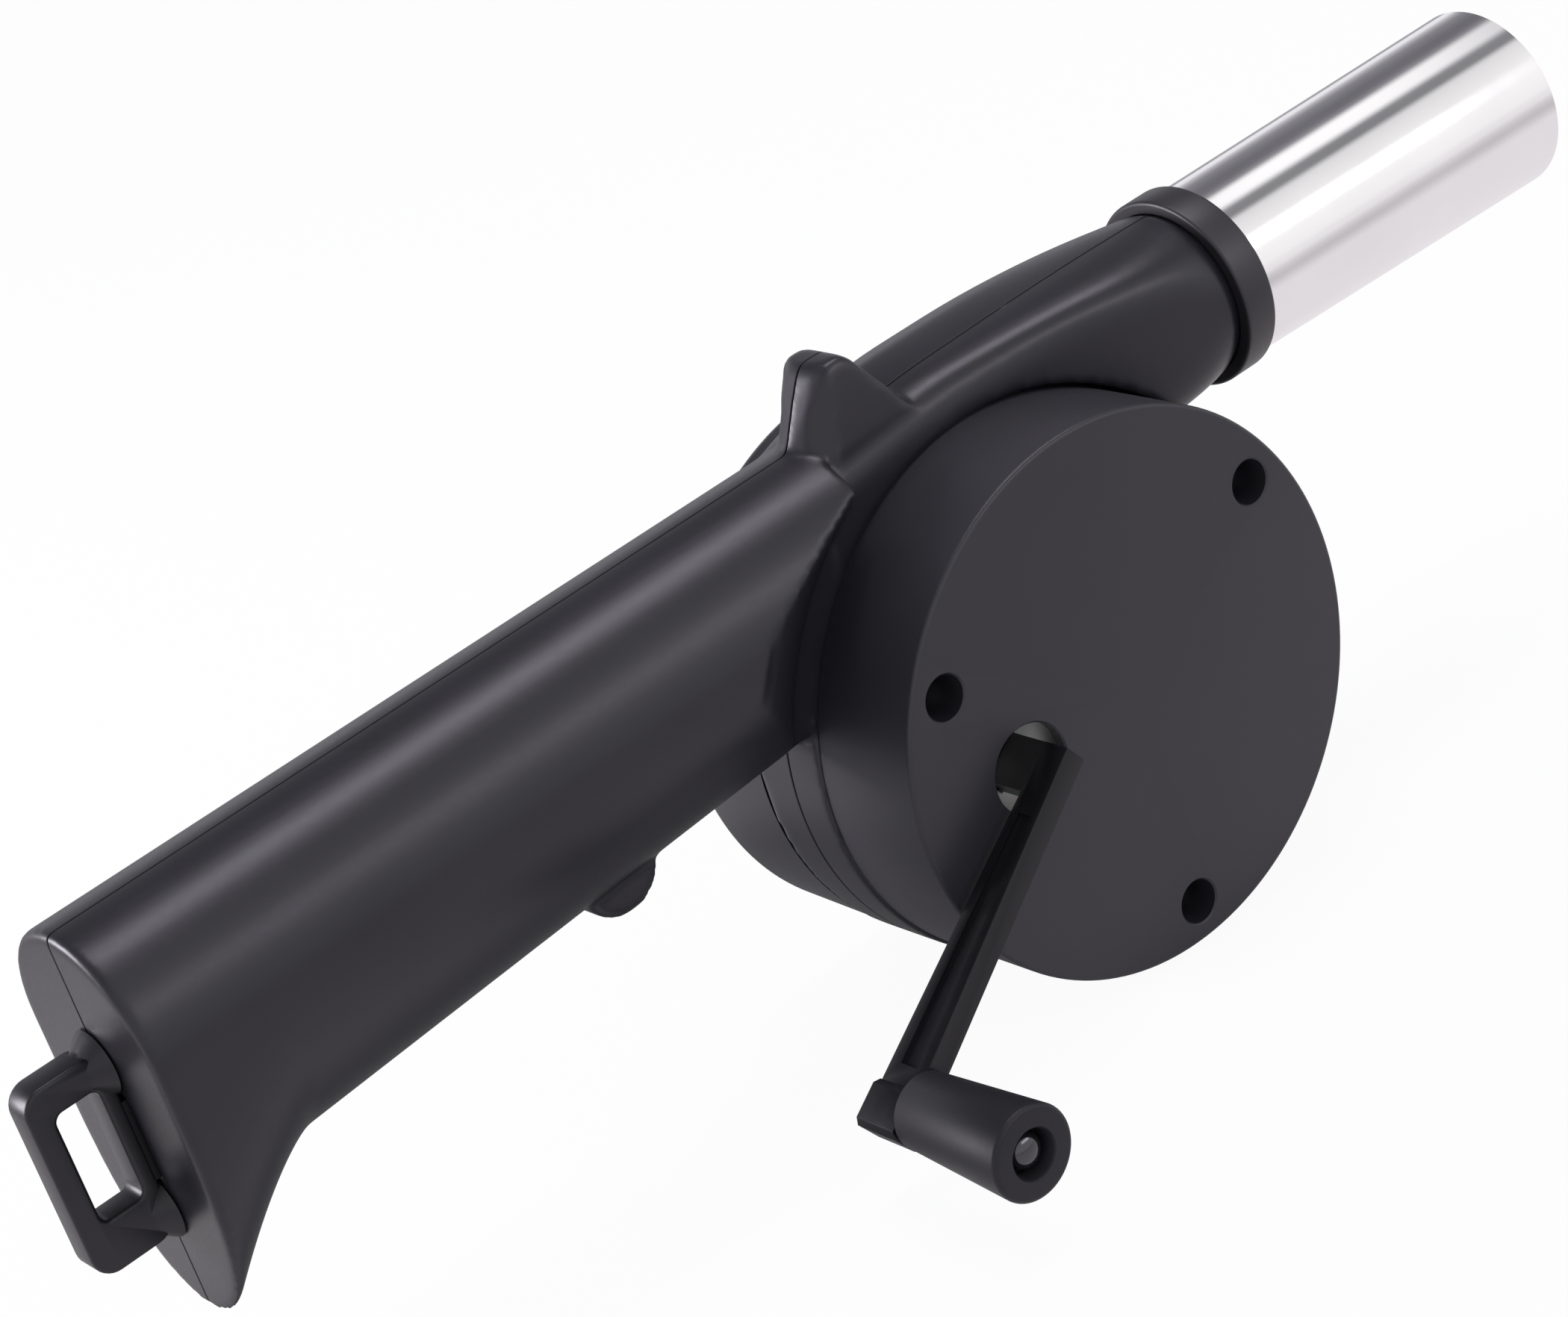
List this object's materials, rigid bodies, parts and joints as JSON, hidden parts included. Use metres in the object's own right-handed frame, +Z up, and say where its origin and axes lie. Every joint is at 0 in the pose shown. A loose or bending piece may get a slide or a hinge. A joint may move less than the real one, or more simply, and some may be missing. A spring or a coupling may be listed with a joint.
{
  "type": "hand_crank_blower",
  "caption": "Hand-held crank blower for charcoal: moulded handle, round gear and fan drum, crank with a turning knob, steel outlet tube and hanging loop",
  "frame": {"origin": "Centre of the gear cover's flat face, on the axis of the drum", "axes": "+X to the outlet, -Y out of the gear cover towards the crank, +Z up with the handle level"},
  "size_m": [0.2772, 0.0841, 0.0983],
  "materials": {
    "black_abs": "satin moulded",
    "dark_grey_abs": "fine satin",
    "black_nylon": "smooth",
    "white_nylon": "smooth",
    "polished_stainless": "polished",
    "zinc_plated_steel": "plated",
    "sintered_bronze": "sintered"
  },
  "bodies": {
    "body": {"right_shell": "black_abs", "left_shell": "black_abs", "gear_cover": "dark_grey_abs", "inlet_cover": "black_abs", "gear_cover_screw_1": "zinc_plated_steel", "gear_cover_screw_2": "zinc_plated_steel", "gear_cover_screw_3": "zinc_plated_steel", "inlet_cover_screw_1": "zinc_plated_steel", "inlet_cover_screw_2": "zinc_plated_steel", "inlet_cover_screw_3": "zinc_plated_steel", "shell_screw_hump": "zinc_plated_steel", "shell_screw_lug": "zinc_plated_steel", "shell_screw_rear": "zinc_plated_steel", "outlet_tube": "polished_stainless", "collar_ring": "black_nylon", "hanging_loop": "black_nylon", "crank_pin": "zinc_plated_steel", "idler_pin": "zinc_plated_steel", "gear_side_bush": "sintered_bronze", "inlet_side_bush": "sintered_bronze"},
    "crank": {"crank_arm": "black_nylon", "crank_gear": "white_nylon", "knob_screw": "zinc_plated_steel"},
    "knob": {"crank_knob": "black_abs"},
    "idler": {"idler_gear": "white_nylon"},
    "fan": {"fan_pinion": "white_nylon", "fan_shaft": "zinc_plated_steel", "impeller": "black_abs", "impeller_nut": "zinc_plated_steel"}
  },
  "joints": [
    {"name": "crank_turn", "type": "hinge", "parent": "body", "child": "crank", "pos_m": [-0.0205, 0, 0], "axis": [0, -1, 0], "continuous": true},
    {"name": "knob_spin", "type": "hinge", "parent": "crank", "child": "knob", "pos_m": [-0.06081, -0.02, -0.0275], "axis": [0, -1, 0], "continuous": true},
    {"name": "idler_turn", "type": "hinge", "parent": "body", "child": "idler", "pos_m": [-0.01025, 0.012, 0.016], "axis": [0, -1, 0], "continuous": true},
    {"name": "fan_turn", "type": "hinge", "parent": "body", "child": "fan", "pos_m": [0, 0.03, 0], "axis": [0, -1, 0], "continuous": true}
  ],
  "couplings": [
    {"joint": "idler_turn", "follows": "crank_turn", "ratio": -2.8},
    {"joint": "fan_turn", "follows": "crank_turn", "ratio": 7.84}
  ]
}
